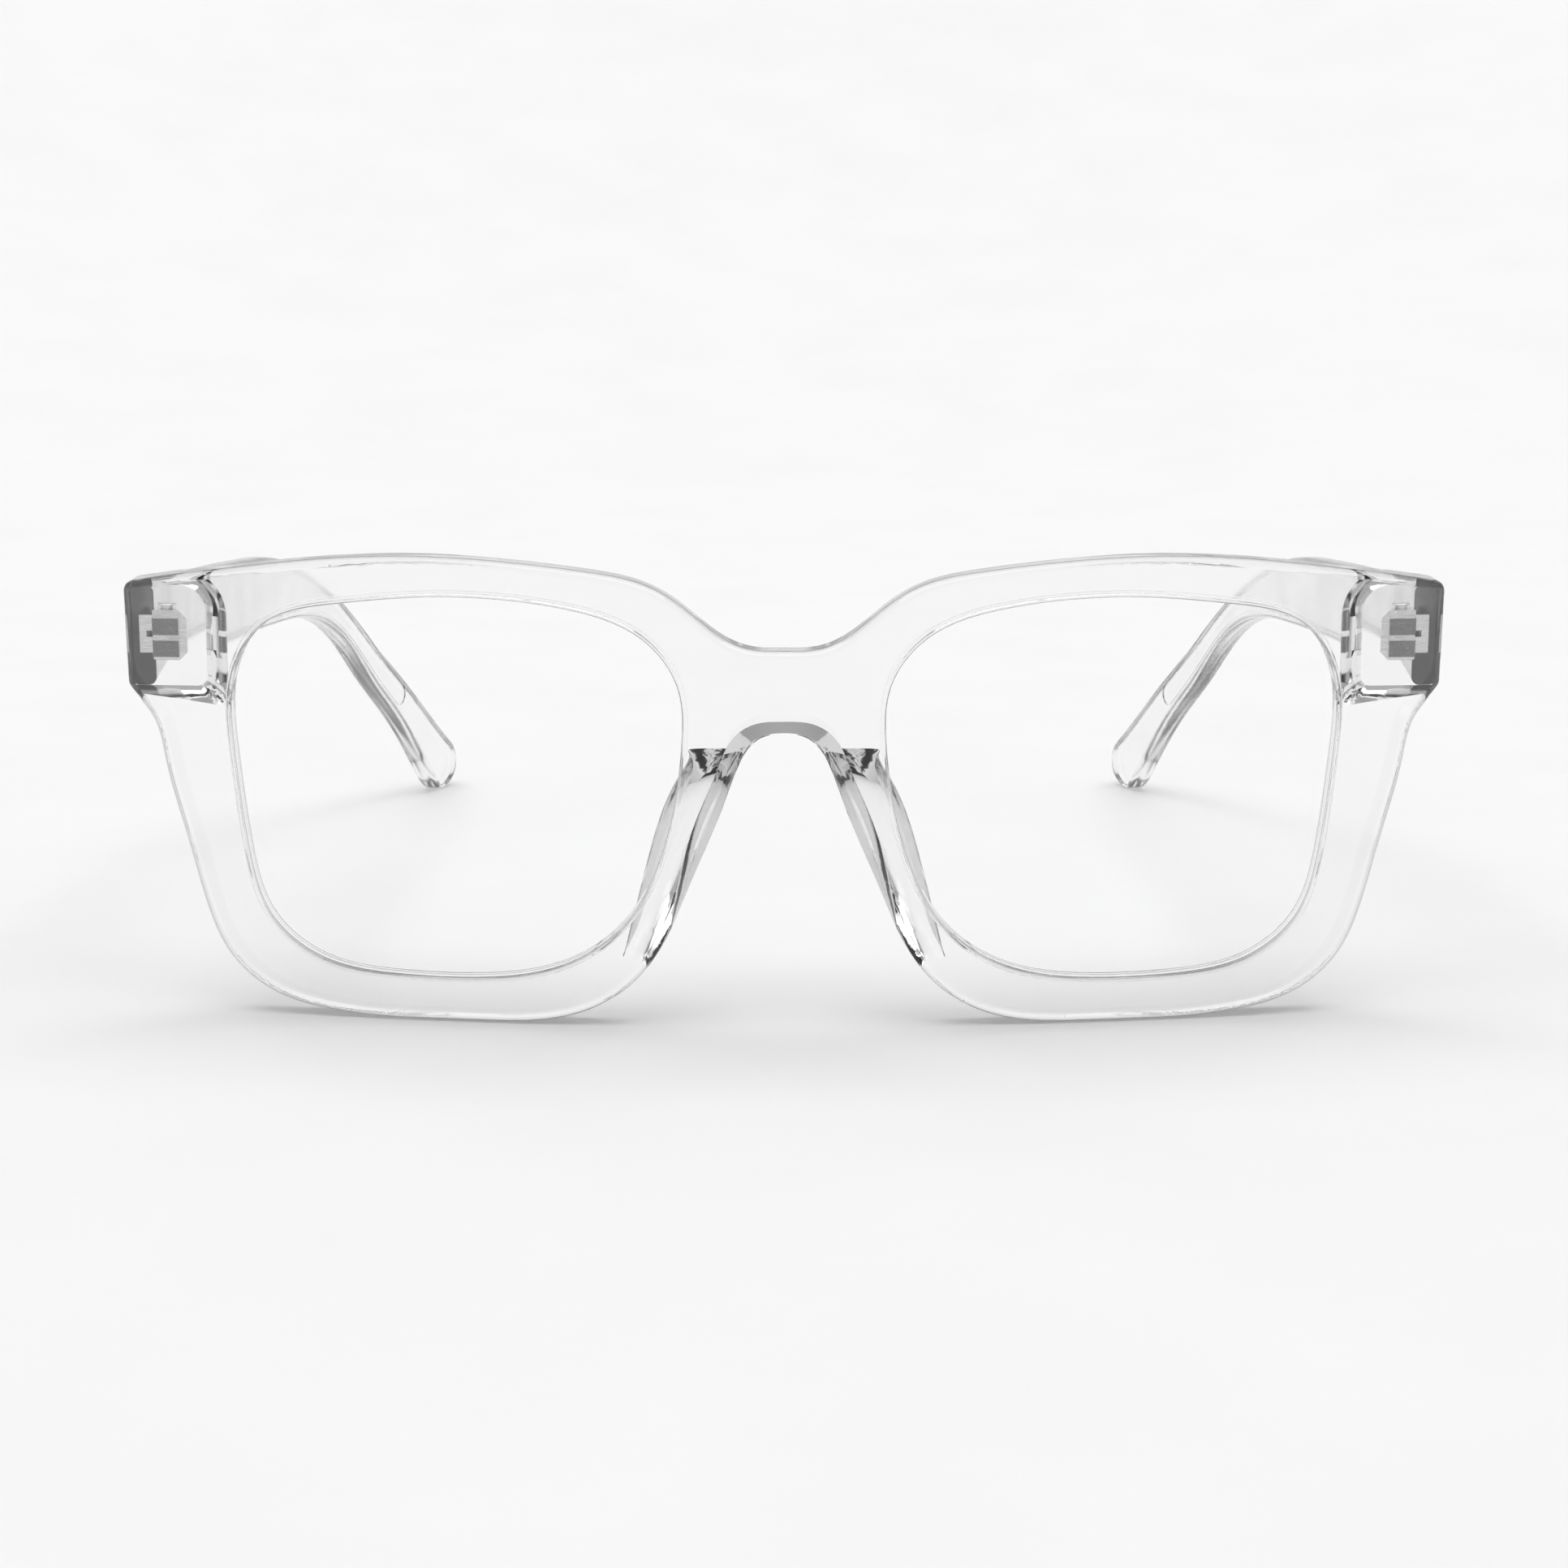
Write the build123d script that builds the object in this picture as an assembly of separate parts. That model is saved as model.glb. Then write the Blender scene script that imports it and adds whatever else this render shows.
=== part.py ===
from build123d import *
import math
import os

# Clear, square, full-rim blue light glasses, in millimetres, standing open on a table.
# +Z is up, the front faces -Y and the glasses are the same on both sides of X = 0.
# The design is drawn with Y = 0 at the front face of the bridge, and every part is
# moved back by half the depth at the end, so that the origin is on the table under
# the middle of the glasses. Each function that takes a side makes the +X one, the
# wearer's left, and the other is its mirror image.

# Front
FRONT_RADIUS = 280.0        # bow of the front face, about a vertical axis
FRONT_THICKNESS = 4.0
FRONT_EDGE_ROUND = 1.0      # round along the front edge of the outline
REAR_EDGE_ROUND = 0.6       # round along the rear edge of the outline
OPENING_ROUND = 0.35        # round along both edges of a lens opening
OPENING_EDGE_LENGTH = 150.0  # only the openings' own edges are longer than this

# Lenses
LENS_CENTRE_X = 36.1
LENS_CENTRE_Z = 26.2
LENS_RADIUS = 150.0         # curve of the lens's middle surface
LENS_DEPTH = 0.6            # middle surface behind the front face, at the lens's centre
LENS_THICKNESS = 2.0
TONGUE_THICKNESS = 1.0      # edge of the lens that sits in the groove
TONGUE_HEIGHT = 0.6
LENS_CLEARANCE = 0.03

# Corner block behind each end piece, which carries the hinge
BLOCK_REAR_Y = 16.6
BLOCK_INNER_X = 64.2
BLOCK_BOTTOM_Z = 36.1
BLOCK_TOP_Z = 47.5
BLOCK_OUTER_X = 76.0        # beyond the end piece, which trims the block
# Sections of the block, from the rim backwards: Y, inner X, bottom Z, top Z, and the
# radii of the upper and the lower inner corner
BLOCK_SECTIONS = [(11.0, 61.6, 34.4, 50.6, 6.0, 1.6), (13.6, 63.0, 35.5, 49.0, 4.4, 1.4),
                  (BLOCK_REAR_Y, BLOCK_INNER_X, BLOCK_BOTTOM_Z, BLOCK_TOP_Z, 3.0, 1.2)]

# Hinge
HINGE_X = 68.7
HINGE_Y = 17.95
HINGE_Z = 41.9
KNUCKLE_RADIUS = 1.25
FRONT_KNUCKLE = 0.6         # height of each of the front leaf's three knuckles
ARM_KNUCKLE = 1.8           # height of each of the arm leaf's two knuckles
KNUCKLE_COUNT = 5           # front, arm, front, arm and front leaf, from the bottom up
KNUCKLE_GAP = 0.05
HINGE_HEIGHT = 3 * FRONT_KNUCKLE + 2 * ARM_KNUCKLE + 4 * KNUCKLE_GAP
HINGE_BOTTOM_Z = HINGE_Z - HINGE_HEIGHT / 2
LEAF_PLATE = 0.8            # thickness of both leaves' plates
LEAF_CORNER = 0.9           # chamfer of the front leaf's corners
FRONT_PLATE_X = (66.4, 70.3)
PRONG_X = (67.2, 70.2)      # two prongs that hold the front leaf in the block
PRONG_LENGTH = 3.4
ARM_PLATE_X = 71.9          # outer side of the plate inside the arm
ARM_PLATE_END_Y = 27.0
STRAP_Y = (16.9, 19.15)     # straps that join the arm leaf's knuckles to its plate
LEAF_CLEARANCE = 0.03       # between a leaf and the plastic round it
SCREW_RADIUS = 0.6
SCREW_SEATED = 0.02         # radial clearance of the screw in the front's knuckles
SCREW_RUNNING = 0.05        # radial clearance of the screw in the arm's knuckles
SCREW_END = 0.15            # screw's end below the lowest knuckle
SCREW_HEAD_RADIUS = 1.1
SCREW_HEAD_HEIGHT = 0.55
SCREW_HEAD_ROUND = 0.2
SLOT_WIDTH = 0.3
SLOT_DEPTH = 0.25

# Arms
ARM_GAP = 0.08              # between the arm's butt and the corner block
ARM_START_Y = BLOCK_REAR_Y + ARM_GAP
ARM_OUTER_X = 73.1
ARM_THICKNESS = 3.0
ARM_BOW_START_Y = 45.0      # the arm is straight, then bows inwards
ARM_BOW_RADIUS = 240.0
ARM_TIP_RADIUS = 3.9        # round end of the ear piece, which stands on the table
ARM_TIP_Y = 136.2           # centre of the round end
ARM_TIP_TOP_SLOPE = 40.0    # slopes, below the horizontal, at which the edges meet it
ARM_TIP_BOTTOM_SLOPE = 50.0
ARM_EDGE_ROUND = 0.95
PANEL_RISE = 1.1            # panel sunk in the inside of the arm, above its lower edge
PANEL_HEIGHT = 3.2
PANEL_DEPTH = 0.2
PANEL_START_Y = 40.0

DEPTH = ARM_TIP_Y + ARM_TIP_RADIUS
ON_FACE = 0.01              # how far from a face a point may be and still count as on it
BEYOND = 3.0                # how far cutting shapes run past what they cut
HEIGHT_LIMIT = 60.0         # taller than the glasses
PRISM_Y = (-5.0, 25.0)      # in front of and behind the whole front

# Right-hand half of the front's outline, as seen from the front: X and Z.
BROW = [(0, 42.0), (3.8, 42.2), (7.3, 43.8), (11.7, 47.3), (15.2, 49.2), (21, 50.5),
        (30, 51.5), (41, 52.0), (52, 51.4), (62.8, 50.0), (71.2, 48.7)]
END_PIECE = [(71.2, 48.7), (73.4, 48.3), (73.2, 36.9), (70.9, 33.9)]
END_PIECE_CORNER = 1.25
RIM_SIDE = [(70.9, 33.9), (69.2, 28.4), (67.0, 19.8), (64.9, 12.0), (62.6, 6.8),
            (57.0, 2.2), (50.0, 0.5), (42.5, 0)]
REST_LAND = [(42.5, 0), (31.5, 0)]
NOSE_SIDE = [(31.5, 0), (22.0, 1.4), (16.4, 5.0), (13.1, 9.6), (9.8, 16.9),
             (6.9, 23.6), (5.0, 28.8), (2.8, 31.7), (0, 32.3)]

# The nose cut is bevelled: it is wider at the front face than this outline.
NOSE_BEVEL_FRONT = [(0, 34.9), (3.4, 34.7), (6.0, 33.2), (7.8, 29.6), (9.7, 25.3),
                    (11.4, 20.3), (12.4, 15.0), (12.9, 10.0), (12.9, 5.0)]
NOSE_BEVEL_REAR = [(0, 31.9), (2.4, 31.4), (4.2, 29.3), (5.3, 26.4), (6.9, 22.5),
                   (8.6, 18.4), (10.1, 14.8), (11.6, 11.0), (12.4, 5.0)]
NOSE_BEVEL_Y = (-1.0, 4.4)  # depths of the two outlines, which the bevel runs between

# Lens opening, seen from the front
OPENING = [(36.5, 47.6), (49.0, 46.6), (57.4, 44.0), (60.7, 38.8), (61.0, 29.5),
           (59.7, 18.6), (57.4, 11.2), (51.6, 6.5), (43.5, 5.0), (34.0, 4.9),
           (25.0, 6.4), (18.6, 10.4), (14.6, 16.4), (12.2, 24.0), (11.2, 31.4),
           (11.7, 38.2), (15.4, 43.2), (24.0, 46.5), (36.5, 47.6)]

# Nose pad: Z of each level, X of the ridge beside the nose and of the outer side, and
# depth behind the pad's root
PAD_ROOT_Y = 2.0
PAD_LEVELS = [(5.5, 16.0, 18.8, 1.4), (9.0, 13.5, 17.3, 4.4), (12.5, 11.8, 16.4, 7.2),
              (17.0, 9.8, 15.2, 9.2), (22.5, 7.4, 13.6, 8.8), (27.2, 5.7, 11.5, 6.4),
              (31.0, 4.3, 10.7, 1.9)]
# Section of the pad, as shares of its width from the ridge and of its depth
PAD_SECTION = [(0.16, 0), (0, 0.45), (0.16, 0.86), (0.55, 1), (1, 0.88), (0.84, 0.42),
               (0.66, 0)]

# Arm seen from the side, Y and Z: a straight shaft, then the bend and the ear piece
ARM_TOP = [(ARM_START_Y, 47.5), (72.0, 43.4), (88.0, 40.7), (100.0, 36.2), (109.0, 30.8),
           (117.0, 24.8), (126.0, 18.0)]
ARM_BOTTOM = [(ARM_START_Y, 36.1), (84.0, 33.3), (97.7, 31.3), (106.1, 27.0),
              (115.0, 19.6), (121.0, 14.7), (127.5, 8.3)]
PANEL_LAST = 5              # the panel ends above this point of the lower edge


def xz(points, y=0.0):
    """Points given as X and Z, at one depth."""
    return [Vector(x, y, z) for x, z in points]


def smooth(points, start, end, y=0.0):
    """Smooth curve through X and Z points, with its direction at both ends."""
    return Spline(*xz(points, y), tangents=[start, end], tangent_scalars=[1, 1])


def mirrored(shape):
    """The same shape on the other side."""
    return shape.mirror(Plane.YZ)


def closed_face(curves):
    """Face inside a closed loop of curves."""
    return Face(Wire([edge for curve in curves for edge in curve.edges()]))


def prism(face):
    """A face in the XZ plane, run straight back through the whole front."""
    return Pos(0, PRISM_Y[0], 0) * extrude(face, amount=PRISM_Y[1] - PRISM_Y[0], dir=(0, 1, 0))


def curved_slab(near, far):
    """All that lies between two depths behind the front face."""
    outer = Cylinder(FRONT_RADIUS - near, 2 * HEIGHT_LIMIT)
    inner = Cylinder(FRONT_RADIUS - far, 2 * HEIGHT_LIMIT)
    return Pos(0, FRONT_RADIUS, 0) * (outer - inner)


def front_outline():
    """Outline of the whole front, with the nose cut but without lens openings."""
    end_piece = xz(END_PIECE)
    brow_end = end_piece[1] - end_piece[0]
    rim_start = end_piece[-1] - end_piece[-2]
    half = [
        smooth(BROW, (1, 0, 0), brow_end.normalized()),
        FilletPolyline(*end_piece, radius=END_PIECE_CORNER),
        smooth(RIM_SIDE, rim_start.normalized(), (-1, 0, 0)),
        Line(*xz(REST_LAND)),
        smooth(NOSE_SIDE, (-1, 0, 0), (-1, 0, 0)),
    ]
    edges = [edge for part in half for edge in part.edges()]
    return closed_face(edges + [mirrored(edge) for edge in edges])


def opening_face(grow=0.0):
    """Outline of the lens opening, or one a little outside or inside it."""
    flat = (1, 0, 0)
    curve = smooth(OPENING, flat, flat)
    points = []
    for x, z in OPENING[1:-1]:
        along = curve.tangent_at(curve.param_at_point((x, 0, z)))
        outward = along.cross(Vector(0, 1, 0)).normalized()
        points.append((x + grow * outward.X, z + grow * outward.Z))
    ends = [(OPENING[0][0], OPENING[0][1] + grow)]
    return closed_face([smooth(ends + points + ends, flat, flat)])


def nose_bevel():
    """Wedge that widens the nose cut towards the front face."""
    def section(points, y):
        curve = smooth(points, (1, 0, 0), (0, 0, -1), y)
        other = mirrored(curve)
        base = Line(curve @ 1, other @ 1)
        return closed_face(curve.edges() + base.edges() + other.edges())
    return loft([section(NOSE_BEVEL_FRONT, NOSE_BEVEL_Y[0]),
                 section(NOSE_BEVEL_REAR, NOSE_BEVEL_Y[1])], ruled=True)


def nose_pad():
    """Moulded pad that grows back out of the front beside the nose cut."""
    sections = []
    for z, ridge, outer, depth in PAD_LEVELS:
        loop = [Vector(ridge + sideways * (outer - ridge), PAD_ROOT_Y + back * depth, z)
                for sideways, back in PAD_SECTION]
        curve = Spline(*loop, periodic=True)
        sections.append(closed_face([curve]))
    return loft(sections)


def corner_block():
    """Block behind the end piece, flaring out to the rim it grows from."""
    sections = []
    for y, inner_x, bottom, top, upper_radius, lower_radius in BLOCK_SECTIONS:
        face = Rectangle(BLOCK_OUTER_X - inner_x, top - bottom)
        upper_corner = face.vertices().group_by(Axis.X)[0].sort_by(Axis.Y)[-1]
        face = fillet(upper_corner, upper_radius)
        lower_corner = face.vertices().group_by(Axis.Y)[0].sort_by(Axis.X)[0]
        face = fillet(lower_corner, lower_radius)
        plane = Plane(origin=((inner_x + BLOCK_OUTER_X) / 2, y, (bottom + top) / 2),
                      x_dir=(1, 0, 0), z_dir=(0, -1, 0))
        sections.append(plane * face)
    return loft(sections)


def lens_centre():
    """Centre of the lens's sphere."""
    turn = math.asin(LENS_CENTRE_X / FRONT_RADIUS)
    reach = FRONT_RADIUS - LENS_DEPTH - LENS_RADIUS
    return Vector(reach * math.sin(turn), FRONT_RADIUS - reach * math.cos(turn), LENS_CENTRE_Z)


def lens_shell(thickness):
    """Sphere-shaped shell about the lens's middle surface."""
    centre = lens_centre()
    outer = Sphere(LENS_RADIUS + thickness / 2)
    inner = Sphere(LENS_RADIUS - thickness / 2)
    return Pos(centre.X, centre.Y, centre.Z) * (outer - inner)


def lens():
    """Curved lens with a thin tongue round its edge."""
    body = prism(opening_face(-LENS_CLEARANCE)) & lens_shell(LENS_THICKNESS)
    tongue = prism(opening_face(TONGUE_HEIGHT)) & lens_shell(TONGUE_THICKNESS)
    return body + tongue


def lens_groove():
    """Groove in the rim for the lens's tongue."""
    return (prism(opening_face(TONGUE_HEIGHT + LENS_CLEARANCE))
            & lens_shell(TONGUE_THICKNESS + 2 * LENS_CLEARANCE))


def box(x, y, z):
    """Box between two X, two Y and two Z values."""
    size = Box(x[1] - x[0], y[1] - y[0], z[1] - z[0])
    return Pos((x[0] + x[1]) / 2, (y[0] + y[1]) / 2, (z[0] + z[1]) / 2) * size


def post(radius, z):
    """Upright cylinder on the hinge's axis between two Z values."""
    return Pos(HINGE_X, HINGE_Y, (z[0] + z[1]) / 2) * Cylinder(radius, z[1] - z[0])


def knuckle_levels():
    """Heights of the front leaf's and of the arm leaf's knuckles, from the bottom up."""
    levels = [[], []]
    z = HINGE_BOTTOM_Z
    for number in range(KNUCKLE_COUNT):
        owner = number % 2
        height = (FRONT_KNUCKLE, ARM_KNUCKLE)[owner]
        levels[owner].append((z, z + height))
        z += height + KNUCKLE_GAP
    return levels


def front_hinge_leaf():
    """Steel leaf in the corner block: plate, two prongs and three knuckles."""
    front_levels, arm_levels = knuckle_levels()
    height = (HINGE_BOTTOM_Z, HINGE_BOTTOM_Z + HINGE_HEIGHT)
    plate = box(FRONT_PLATE_X, (BLOCK_REAR_Y - LEAF_PLATE, BLOCK_REAR_Y), height)
    inner_corners = plate.edges().filter_by(Axis.Y).group_by(Axis.X)[0]
    leaf = chamfer(inner_corners, LEAF_CORNER)
    prong_y = (BLOCK_REAR_Y - LEAF_PLATE - PRONG_LENGTH, BLOCK_REAR_Y - LEAF_PLATE)
    for level in arm_levels:
        leaf += box(PRONG_X, prong_y, level)
    knuckle_x = (HINGE_X - KNUCKLE_RADIUS, HINGE_X + KNUCKLE_RADIUS)
    for level in front_levels:
        leaf += box(knuckle_x, (BLOCK_REAR_Y, HINGE_Y), level) + post(KNUCKLE_RADIUS, level)
    return leaf - post(SCREW_RADIUS + SCREW_SEATED, (0, HEIGHT_LIMIT))


def arm_hinge_leaf():
    """Steel leaf in the arm: plate inside the arm and two knuckles."""
    levels = knuckle_levels()[1]
    leaf = box((ARM_PLATE_X - LEAF_PLATE, ARM_PLATE_X), (STRAP_Y[0], ARM_PLATE_END_Y),
               (levels[0][0], levels[-1][1]))
    for level in levels:
        leaf += box((HINGE_X, ARM_PLATE_X), STRAP_Y, level) + post(KNUCKLE_RADIUS, level)
    return leaf - post(SCREW_RADIUS + SCREW_RUNNING, (0, HEIGHT_LIMIT))


def hinge_screw():
    """Slotted hinge screw, put in from the top."""
    top = HINGE_BOTTOM_Z + HINGE_HEIGHT
    shank = post(SCREW_RADIUS, (HINGE_BOTTOM_Z - SCREW_END, top))
    head = post(SCREW_HEAD_RADIUS, (top, top + SCREW_HEAD_HEIGHT))
    rim = head.edges().filter_by(GeomType.CIRCLE).group_by(Axis.Z)[-1]
    head = fillet(rim, SCREW_HEAD_ROUND)
    slot = Pos(HINGE_X, HINGE_Y, top + SCREW_HEAD_HEIGHT) * Box(
        4 * SCREW_HEAD_RADIUS, SLOT_WIDTH, 2 * SLOT_DEPTH)
    return shank + head - slot


def on_cylinder(edge, depth):
    """Whether an edge lies in the slab's face at a depth."""
    radii = [math.hypot(p.X, p.Y - FRONT_RADIUS) for p in (edge @ 0, edge @ 0.4, edge @ 1)]
    return all(abs(radius - FRONT_RADIUS + depth) < ON_FACE for radius in radii)


def front_frame():
    """One-piece front: both rims, bridge, end pieces, corner blocks and nose pads."""
    outline = prism(front_outline())
    body = outline & curved_slab(0, FRONT_THICKNESS)
    body = fillet([e for e in body.edges() if on_cylinder(e, 0)], FRONT_EDGE_ROUND)
    body = fillet([e for e in body.edges() if on_cylinder(e, FRONT_THICKNESS)],
                  REAR_EDGE_ROUND)
    body -= nose_bevel()
    block = corner_block() & outline
    pad = nose_pad()
    opening = prism(opening_face())
    leaf_room = hinge_room()
    groove = lens_groove()
    both_sides = (lambda shape: shape, mirrored)
    for side in both_sides:
        body -= side(opening)
    body = fillet([e for e in body.edges() if e.length > OPENING_EDGE_LENGTH],
                  OPENING_ROUND)
    for side in both_sides:
        body = body + side(block) + side(pad) - side(groove) - side(leaf_room)
    return body


def hinge_room():
    """Space for the front leaf's plate and prongs, a little larger than they are."""
    grow = LEAF_CLEARANCE
    z = (HINGE_BOTTOM_Z - grow, HINGE_BOTTOM_Z + HINGE_HEIGHT + grow)
    plate_y = (BLOCK_REAR_Y - LEAF_PLATE - grow, BLOCK_REAR_Y + BEYOND)
    plate = box((FRONT_PLATE_X[0] - grow, FRONT_PLATE_X[1] + grow), plate_y, z)
    inner_corners = plate.edges().filter_by(Axis.Y).group_by(Axis.X)[0]
    room = chamfer(inner_corners, LEAF_CORNER)
    prong_y = (plate_y[0] - PRONG_LENGTH, plate_y[0] + grow)
    for low, high in knuckle_levels()[1]:
        room += box((PRONG_X[0] - grow, PRONG_X[1] + grow), prong_y, (low - grow, high + grow))
    return room


def arm_layer(near, far):
    """Layer of the arm seen from above, between two depths behind its outer face."""
    centre = (ARM_OUTER_X - ARM_BOW_RADIUS, ARM_BOW_START_Y)
    sweep = math.degrees(math.asin((DEPTH + BEYOND - ARM_BOW_START_Y) / ARM_BOW_RADIUS))
    outer = CenterArc(centre, ARM_BOW_RADIUS - near, 0, sweep)
    inner = CenterArc(centre, ARM_BOW_RADIUS - far, 0, sweep)
    front_outer = (ARM_OUTER_X - near, ARM_START_Y)
    front_inner = (ARM_OUTER_X - far, ARM_START_Y)
    edges = [Line(front_outer, outer @ 0), outer, Line(outer @ 1, inner @ 1), inner,
             Line(inner @ 0, front_inner), Line(front_inner, front_outer)]
    return extrude(closed_face(edges), amount=HEIGHT_LIMIT)


def yz(points):
    """Points given as Y and Z, in the plane of symmetry."""
    return [Vector(0, y, z) for y, z in points]


def arm_edge(points, tip_point, tip_slope):
    """Upper or lower edge of the arm seen from the side, to where the round end begins."""
    start, shaft_end, *bend = yz(points)
    slope = math.radians(tip_slope)
    shaft = Line(start, shaft_end)
    ear = Spline(shaft_end, *bend, tip_point,
                 tangents=[(shaft_end - start).normalized(),
                           (0, math.cos(slope), -math.sin(slope))],
                 tangent_scalars=[1, 1])
    return shaft, ear


def tip_points():
    """Where the ear piece's upper and lower edges meet its round end, and the far point."""
    centre = Vector(0, ARM_TIP_Y, ARM_TIP_RADIUS)
    top, bottom = math.radians(ARM_TIP_TOP_SLOPE), math.radians(ARM_TIP_BOTTOM_SLOPE)
    return (centre + Vector(0, math.sin(top), math.cos(top)) * ARM_TIP_RADIUS,
            centre - Vector(0, math.sin(bottom), math.cos(bottom)) * ARM_TIP_RADIUS,
            centre + Vector(0, math.cos(math.pi / 4), -math.sin(math.pi / 4)) * ARM_TIP_RADIUS)


def across(curves):
    """A closed outline in the YZ plane, run right across X."""
    return extrude(closed_face(curves), amount=2 * ARM_OUTER_X, dir=(1, 0, 0))


def arm_profile():
    """Arm seen from the side: tapered shaft, bend and ear piece with a round end."""
    top_end, bottom_end, far_point = tip_points()
    top = arm_edge(ARM_TOP, top_end, ARM_TIP_TOP_SLOPE)
    bottom = arm_edge(ARM_BOTTOM, bottom_end, ARM_TIP_BOTTOM_SLOPE)
    return across([*top, ThreePointArc(top_end, far_point, bottom_end), *bottom,
                   Line(*yz([ARM_TOP[0], ARM_BOTTOM[0]]))])


def panel_edge(rise):
    """Line at a height above the arm's lower edge, from the panel's start to its end."""
    shaft, ear = arm_edge(ARM_BOTTOM, tip_points()[1], ARM_TIP_BOTTOM_SLOPE)
    share = (PANEL_START_Y - ARM_START_Y) / (ARM_BOTTOM[1][0] - ARM_START_Y)
    places = [(shaft @ share, shaft % share)]
    for point in yz(ARM_BOTTOM[1:PANEL_LAST + 1]):
        places.append((point, ear.tangent_at(ear.param_at_point(point))))
    points = [point + Vector(0, -along.Z, along.Y) * rise for point, along in places]
    directions = [along for point, along in places[1:]]
    return (Line(points[0], points[1]),
            Spline(*points[1:], tangents=[directions[0], directions[-1]],
                   tangent_scalars=[1, 1]))


def panel_profile():
    """Panel seen from the side: a band that follows the arm's lower edge."""
    low = panel_edge(PANEL_RISE)
    high = panel_edge(PANEL_RISE + PANEL_HEIGHT)
    middle = (low[1] @ 1 + high[1] @ 1) / 2
    far_point = middle + (low[1] % 1) * (PANEL_HEIGHT / 2)
    return across([*low, ThreePointArc(low[1] @ 1, far_point, high[1] @ 1), *high,
                   Line(low[0] @ 0, high[0] @ 0)])


def arm():
    """Left arm of clear plastic, with the room for its hinge leaf."""
    body = arm_layer(0, ARM_THICKNESS) & arm_profile()
    round_edges = [e for e in body.edges() if (e @ 0.5).Y > ARM_START_Y + ARM_GAP]
    body = fillet(round_edges, ARM_EDGE_ROUND)
    panel = arm_layer(ARM_THICKNESS - PANEL_DEPTH, ARM_THICKNESS + BEYOND) & panel_profile()
    return body - panel - arm_leaf_room()


def arm_leaf_room():
    """Slot in the arm's butt for the arm leaf."""
    grow = LEAF_CLEARANCE
    levels = knuckle_levels()[1]
    z = (levels[0][0] - grow, levels[-1][1] + grow)
    outer = ARM_PLATE_X + grow
    front_y = ARM_START_Y - BEYOND
    window = box((ARM_OUTER_X - ARM_THICKNESS - BEYOND, outer),
                 (front_y, HINGE_Y + KNUCKLE_RADIUS), z)
    plate = box((ARM_PLATE_X - LEAF_PLATE - grow, outer), (front_y, ARM_PLATE_END_Y + grow), z)
    return window + plate


def make_parts():
    """Every node by name, in its place."""
    sided = {"lens": lens(), "arm": arm(), "front_hinge_leaf": front_hinge_leaf(),
             "arm_hinge_leaf": arm_hinge_leaf(), "hinge_screw": hinge_screw()}
    parts = {"front_frame": front_frame()}
    for name, shape in sided.items():
        parts[name + "_left"] = shape
        parts[name + "_right"] = mirrored(shape)
    return {name: Pos(0, -DEPTH / 2, 0) * shape for name, shape in parts.items()}


def main():
    os.makedirs("parts", exist_ok=True)
    for name, shape in make_parts().items():
        export_step(shape, f"parts/{name}.step")


main()
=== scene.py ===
import math

import bpy
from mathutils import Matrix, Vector


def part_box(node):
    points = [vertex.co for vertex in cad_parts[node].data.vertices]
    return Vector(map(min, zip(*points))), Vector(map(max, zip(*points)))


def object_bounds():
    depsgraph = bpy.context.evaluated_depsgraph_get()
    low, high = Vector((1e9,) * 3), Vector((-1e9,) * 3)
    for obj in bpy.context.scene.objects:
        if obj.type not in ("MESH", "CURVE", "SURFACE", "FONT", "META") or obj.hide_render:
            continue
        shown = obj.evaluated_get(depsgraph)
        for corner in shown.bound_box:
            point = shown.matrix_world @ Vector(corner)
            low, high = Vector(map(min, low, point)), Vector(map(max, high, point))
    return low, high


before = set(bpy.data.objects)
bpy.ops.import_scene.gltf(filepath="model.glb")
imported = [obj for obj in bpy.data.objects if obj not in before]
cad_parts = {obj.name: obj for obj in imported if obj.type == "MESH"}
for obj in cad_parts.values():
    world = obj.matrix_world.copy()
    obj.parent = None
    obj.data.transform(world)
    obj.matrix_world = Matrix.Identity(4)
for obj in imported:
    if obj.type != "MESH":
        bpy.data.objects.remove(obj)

cad_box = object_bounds()

# Clear plastic glasses standing open on a pale table. Metres, +Z up, the front faces -Y.

# Camera
FRONT_TO_CAMERA = 0.331
CAMERA_HEIGHT = 0.093
CAMERA_PITCH = 11.2         # degrees below the horizon
CAMERA_LENS = 71.05         # mm
SENSOR_WIDTH = 36.0         # mm
CLIP_START = 0.01

# Front hinge leaf: the plate ends flush with the corner block, and two prongs lie in front of it
LEAF_PLATE = 0.0008
PLATE_FRONT_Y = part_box("front_frame")[1].y - LEAF_PLATE
PLATE_BLEND = 0.0003        # how far the painted shade on the prongs runs into the plate's grey

# Table top: flat in the middle, rising to a shallow dish all round
FLAT_REACH = 0.35
DISH_REACH = 1.3
DISH_HEIGHT = 0.45
DISH_TURNS = 96
DISH_STEPS = 24
TABLE_LEVEL = -0.0001       # a hair below the feet, or no light gets through them to the table

# Clear plastic. Roughness runs between the two haze values, and absorption is per metre.
# The plastic's colour greys from face on to grazing: painted shade standing in for the dark
# outlines that refraction gives clear plastic's edges.
FACE_GREY = 0.99            # tint where the surface is seen face on
PAINTED_SHADE_RANGE = (0.15, 0.55)   # share turned away at which the painted edge shade starts and is full
NO_BIAS = 0.5               # Layer Weight's blend at which it follows the angle alone
FRONT_PLASTIC = {"painted_edge_shade_grey": 0.4, "haze": (0.03, 0.09), "absorbing": 60.0}
ARM_PLASTIC = {"painted_edge_shade_grey": 0.98, "haze": (0.12, 0.2), "absorbing": 25.0}
PLASTIC_IOR = 1.49
PLASTIC_BODY = (0.9, 0.9, 0.9, 1)

# Lenses: a low IOR stands in for an anti-reflection coating
LENS_TINT = (0.998, 0.998, 1.0, 1)
LENS_IOR = 1.15
LENS_SMEAR = (0.0, 0.012)

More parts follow.
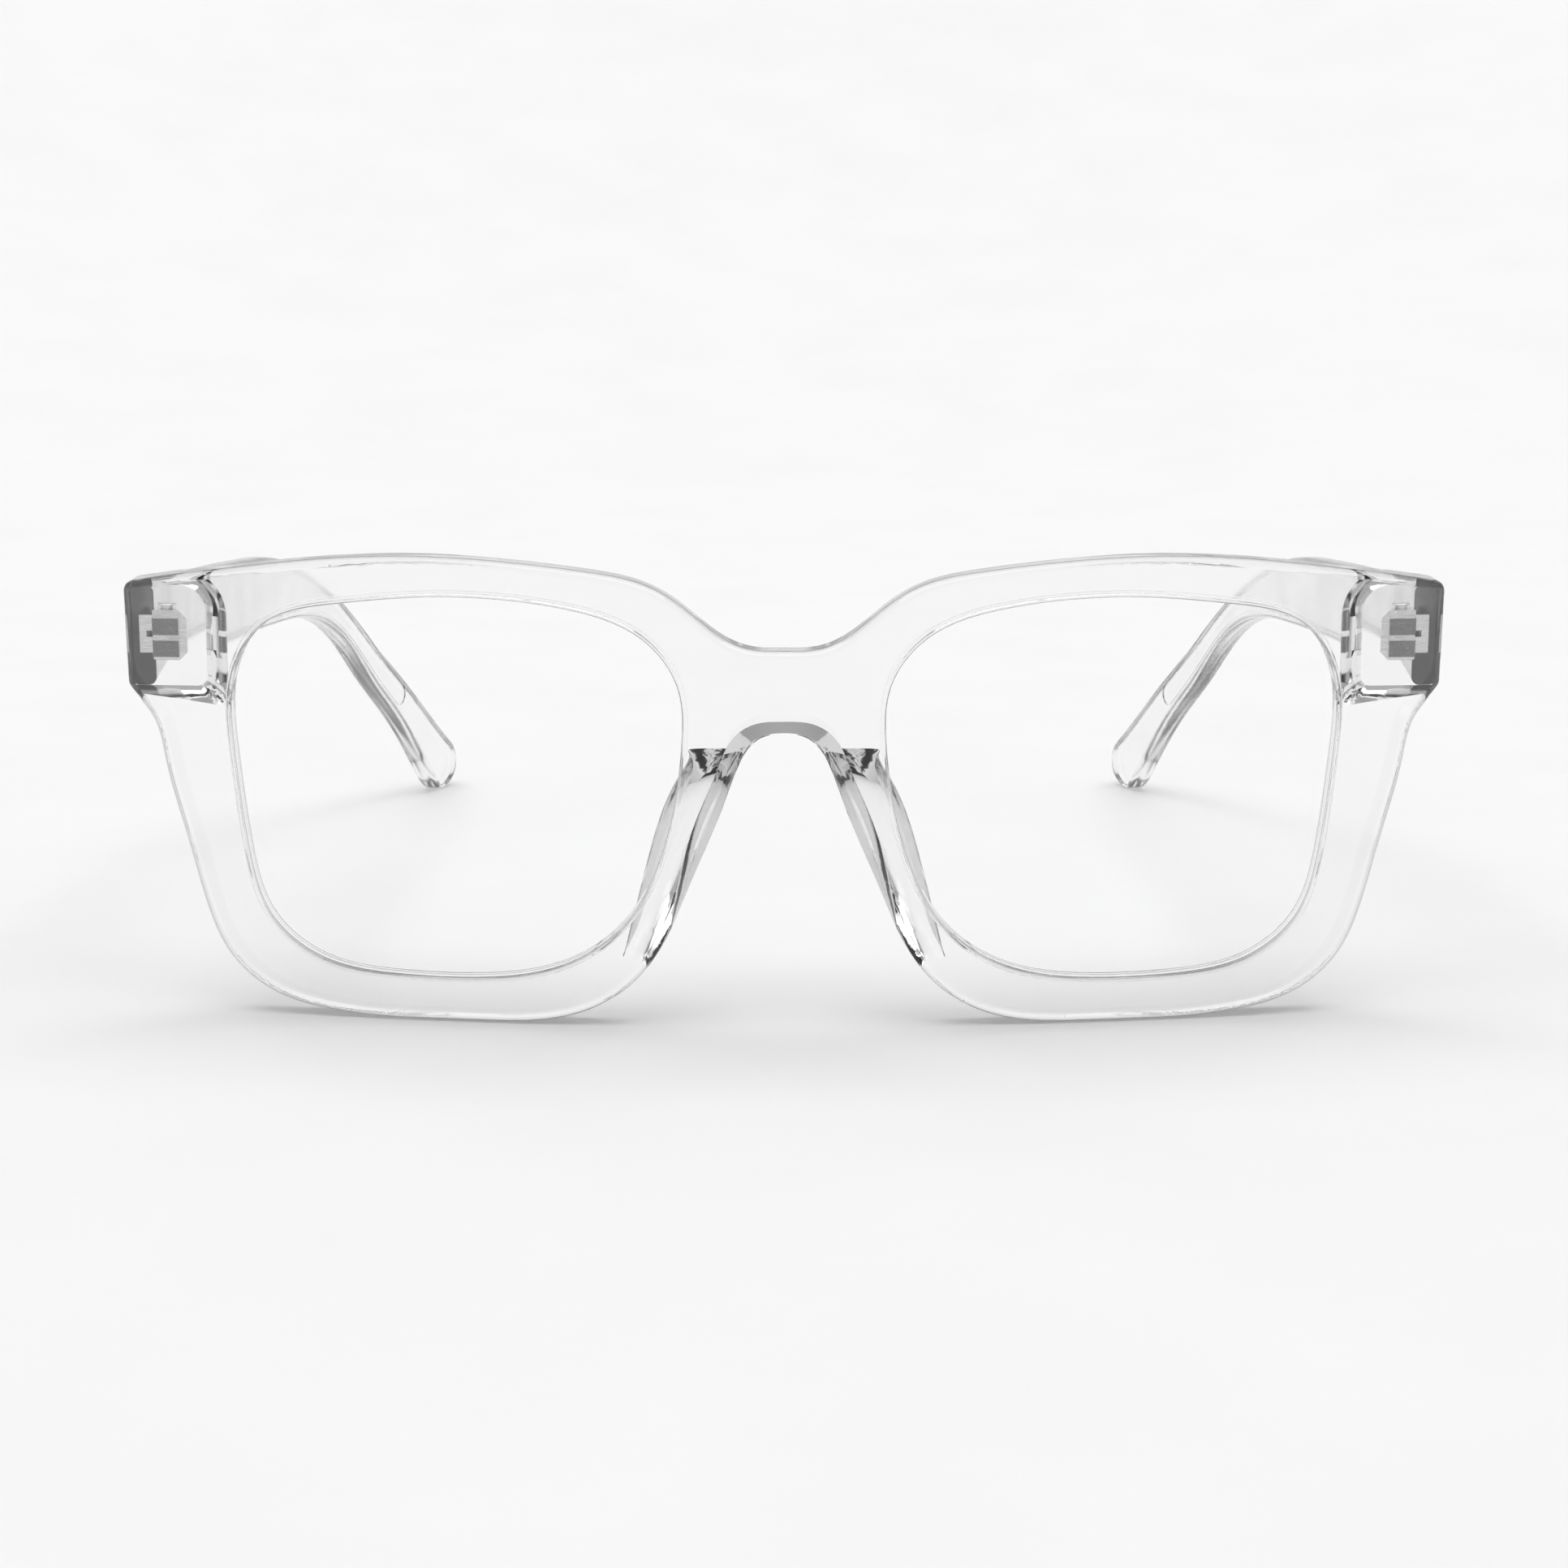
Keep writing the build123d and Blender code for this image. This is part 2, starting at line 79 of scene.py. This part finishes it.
# Steel
STEEL = (0.8, 0.8, 0.81, 1)
PRONG_SHADE_GREY = 0.22        # painted shade: the prongs in front of the plate are given a dark grey
EXPOSED_GREY = 0.8
STEEL_ROUGHNESS = (0.22, 0.42)

# Table paper
PAPER_GREYS = (0.90, 0.92)
PAPER_ROUGHNESS = 0.9
PAPER_GLOSS = 0.1

NOISE_MIDDLE = (0.3, 0.7)   # the part of a noise's range that most of its values are in

# Light
TABLE_MIDDLE = Vector((0, 0, 0))
OVERHEAD_HEIGHT = 1.8
OVERHEAD_SIZE = 2.2
OVERHEAD_POWER = 24.9
BACK_PLACE = (0.9, 0.9, 0.9)
BACK_SIZE = 0.5
BACK_POWER = 0.9
ROOM_GREY = (0.95, 0.95, 0.95, 1)
ROOM_STRENGTH = 0.45


# --------------------------------------------------------------------------- materials

def new_material(name):
    """Empty material with its nodes, its links and its shader."""
    material = bpy.data.materials.new(name)
    material.use_nodes = True
    nodes = material.node_tree.nodes
    return material, nodes, material.node_tree.links, nodes["Principled BSDF"]


def noise(nodes, links, scale, detail, stretch=(1, 1, 1)):
    """Noise in the object's own coordinates, in cells per metre."""
    coordinates = nodes.new("ShaderNodeTexCoord")
    mapping = nodes.new("ShaderNodeMapping")
    mapping.inputs["Scale"].default_value = stretch
    texture = nodes.new("ShaderNodeTexNoise")
    texture.inputs["Scale"].default_value = scale
    texture.inputs["Detail"].default_value = detail
    links.new(coordinates.outputs["Object"], mapping.inputs["Vector"])
    links.new(mapping.outputs["Vector"], texture.inputs["Vector"])
    return texture.outputs["Fac"]


def between(nodes, links, value, reach):
    """A noise's value, stretched to run over the reach."""
    stretch = nodes.new("ShaderNodeMapRange")
    stretch.inputs["From Min"].default_value = NOISE_MIDDLE[0]
    stretch.inputs["From Max"].default_value = NOISE_MIDDLE[1]
    stretch.inputs["To Min"].default_value = reach[0]
    stretch.inputs["To Max"].default_value = reach[1]
    links.new(value, stretch.inputs["Value"])
    return stretch.outputs["Result"]


def grey_ramp(nodes, links, value, greys, places=(0.0, 1.0)):
    """Ramp from one colour to another between two places; a number is a plain grey."""
    ramp = nodes.new("ShaderNodeValToRGB")
    for element, grey, place in zip(ramp.color_ramp.elements, greys, places):
        element.position = place
        element.color = grey if isinstance(grey, tuple) else (grey, grey, grey, 1)
    links.new(value, ramp.inputs["Fac"])
    return ramp.outputs["Color"]


def bump(nodes, links, height, distance, strength):
    """Normal that follows a height."""
    node = nodes.new("ShaderNodeBump")
    node.inputs["Distance"].default_value = distance
    node.inputs["Strength"].default_value = strength
    links.new(height, node.inputs["Height"])
    return node.outputs["Normal"]


def clear_plastic(name, painted_edge_shade_grey, haze, absorbing):
    """Polished clear plastic: slight waviness, faint haze, and painted shade that darkens its
    colour where it turns away from view.
    """
    material, nodes, links, shader = new_material(name)
    # Painted shade: the base colour darkens by viewing angle towards the edges.
    weight = nodes.new("ShaderNodeLayerWeight")
    weight.inputs["Blend"].default_value = NO_BIAS
    edge_shade_colour = grey_ramp(nodes, links, weight.outputs["Facing"], (FACE_GREY, painted_edge_shade_grey), PAINTED_SHADE_RANGE)
    links.new(edge_shade_colour, shader.inputs["Base Color"])
    shader.inputs["Transmission Weight"].default_value = 1.0
    shader.inputs["IOR"].default_value = PLASTIC_IOR
    mist = noise(nodes, links, scale=160, detail=3)
    links.new(between(nodes, links, mist, haze), shader.inputs["Roughness"])
    wave = noise(nodes, links, scale=55, detail=2)
    waviness = bump(nodes, links, wave, distance=0.0004, strength=0.25)
    links.new(waviness, shader.inputs["Normal"])
    absorption = nodes.new("ShaderNodeVolumeAbsorption")
    absorption.inputs["Color"].default_value = PLASTIC_BODY
    absorption.inputs["Density"].default_value = absorbing
    links.new(absorption.outputs["Volume"], nodes["Material Output"].inputs["Volume"])
    return material


def lens_plastic():
    """Hard-coated lens, clear, with barely visible smears."""
    material, nodes, links, shader = new_material("lens_coated")
    shader.inputs["Base Color"].default_value = LENS_TINT
    shader.inputs["Transmission Weight"].default_value = 1.0
    shader.inputs["IOR"].default_value = LENS_IOR
    smear = noise(nodes, links, scale=40, detail=4)
    links.new(between(nodes, links, smear, LENS_SMEAR), shader.inputs["Roughness"])
    return material


def hinge_steel(name, prong_shade_grey):
    """Satin steel with fine brush marks, and another grey in front of the leaf's plate, which on
    the front leaf is painted shade on the prongs.
    """
    material, nodes, links, shader = new_material(name)
    shader.inputs["Metallic"].default_value = 1.0
    place = nodes.new("ShaderNodeSeparateXYZ")
    links.new(nodes.new("ShaderNodeTexCoord").outputs["Object"], place.inputs["Vector"])
    # Steel in front of the leaf's plate takes the given grey; on the front leaf's prongs that
    # grey is painted shade.
    prong_shade_mask = nodes.new("ShaderNodeMapRange")
    prong_shade_mask.inputs["From Min"].default_value = PLATE_FRONT_Y - PLATE_BLEND
    prong_shade_mask.inputs["From Max"].default_value = PLATE_FRONT_Y
    links.new(place.outputs["Y"], prong_shade_mask.inputs["Value"])
    colour = grey_ramp(nodes, links, prong_shade_mask.outputs["Result"], (prong_shade_grey, STEEL))
    links.new(colour, shader.inputs["Base Color"])
    marks = noise(nodes, links, scale=900, detail=4, stretch=(1, 8, 8))
    links.new(between(nodes, links, marks, STEEL_ROUGHNESS), shader.inputs["Roughness"])
    brushing = bump(nodes, links, marks, distance=0.00003, strength=0.3)
    links.new(brushing, shader.inputs["Normal"])
    return material


def table_paper():
    """Matt white table paper with a faint mottle."""
    material, nodes, links, shader = new_material("table_paper")
    shader.inputs["Roughness"].default_value = PAPER_ROUGHNESS
    shader.inputs["Specular IOR Level"].default_value = PAPER_GLOSS
    mottle = noise(nodes, links, scale=30, detail=6)
    colour = grey_ramp(nodes, links, mottle, PAPER_GREYS, NOISE_MIDDLE)
    links.new(colour, shader.inputs["Base Color"])
    return material


# --------------------------------------------------------------------------- the object

front_plastic = clear_plastic("clear_plastic_front", **FRONT_PLASTIC)
arm_plastic = clear_plastic("clear_plastic_arm", **ARM_PLASTIC)
coated_lens = lens_plastic()
leaf_steel = hinge_steel("hinge_steel_leaf", PRONG_SHADE_GREY)
steel = hinge_steel("hinge_steel_satin", EXPOSED_GREY)

material_of = {"front_frame": front_plastic}
for side in ("left", "right"):
    material_of["lens_" + side] = coated_lens
    material_of["arm_" + side] = arm_plastic
    material_of["front_hinge_leaf_" + side] = leaf_steel
    material_of["arm_hinge_leaf_" + side] = steel
    material_of["hinge_screw_" + side] = steel
for name, material in material_of.items():
    for material_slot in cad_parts[name].material_slots:
        material_slot.material = material


# --------------------------------------------------------------------------- the studio

def dish(name, material):
    """Round table top whose edge rises all round into a shallow dish, one smooth sheet."""
    profile = [(FLAT_REACH, 0.0)]
    for step in range(1, DISH_STEPS + 1):
        share = step / DISH_STEPS
        profile.append((FLAT_REACH + share * (DISH_REACH - FLAT_REACH), DISH_HEIGHT * share ** 2))
    points, faces = [(0, 0, 0)], []
    for turn in range(DISH_TURNS):
        angle = 2 * math.pi * turn / DISH_TURNS
        points += [(r * math.cos(angle), r * math.sin(angle), z) for r, z in profile]
    ring = len(profile)
    for turn in range(DISH_TURNS):
        here = 1 + turn * ring
        there = 1 + (turn + 1) % DISH_TURNS * ring
        faces.append((0, here, there))
        faces += [(here + k, here + k + 1, there + k + 1, there + k) for k in range(ring - 1)]
    mesh = bpy.data.meshes.new(name)
    mesh.from_pydata(points, [], faces)
    mesh.polygons.foreach_set("use_smooth", [True] * len(faces))
    mesh.materials.append(material)
    sheet = bpy.data.objects.new(name, mesh)
    sheet.location = (0, 0, TABLE_LEVEL)
    bpy.context.scene.collection.objects.link(sheet)


def softbox(name, place, size, power):
    """Square soft light that points at the table's middle."""
    light = bpy.data.lights.new(name, "AREA")
    light.shape = "RECTANGLE"
    light.size = size
    light.size_y = size
    light.energy = power
    lamp = bpy.data.objects.new(name, light)
    lamp.location = place
    lamp.rotation_euler = (TABLE_MIDDLE - Vector(place)).to_track_quat("-Z", "Y").to_euler()
    bpy.context.scene.collection.objects.link(lamp)


dish("table", table_paper())
back_x, back_y, back_z = BACK_PLACE
softbox("overhead_softbox", (0, 0, OVERHEAD_HEIGHT), OVERHEAD_SIZE, OVERHEAD_POWER)
softbox("back_left_softbox", (back_x, back_y, back_z), BACK_SIZE, BACK_POWER)
softbox("back_right_softbox", (-back_x, back_y, back_z), BACK_SIZE, BACK_POWER)

world = bpy.data.worlds.new("studio_room")
world.use_nodes = True
room = world.node_tree.nodes["Background"]
room.inputs["Color"].default_value = ROOM_GREY
room.inputs["Strength"].default_value = ROOM_STRENGTH
bpy.context.scene.world = world

camera_data = bpy.data.cameras.new("camera")
camera_data.lens = CAMERA_LENS
camera_data.sensor_width = SENSOR_WIDTH
camera_data.clip_start = CLIP_START
camera = bpy.data.objects.new("camera", camera_data)
camera.location = (0, cad_box[0].y - FRONT_TO_CAMERA, CAMERA_HEIGHT)
camera.rotation_euler = (math.radians(90 - CAMERA_PITCH), 0, 0)
bpy.context.scene.collection.objects.link(camera)
bpy.context.scene.camera = camera
bpy.context.scene.view_settings.view_transform = "Standard"
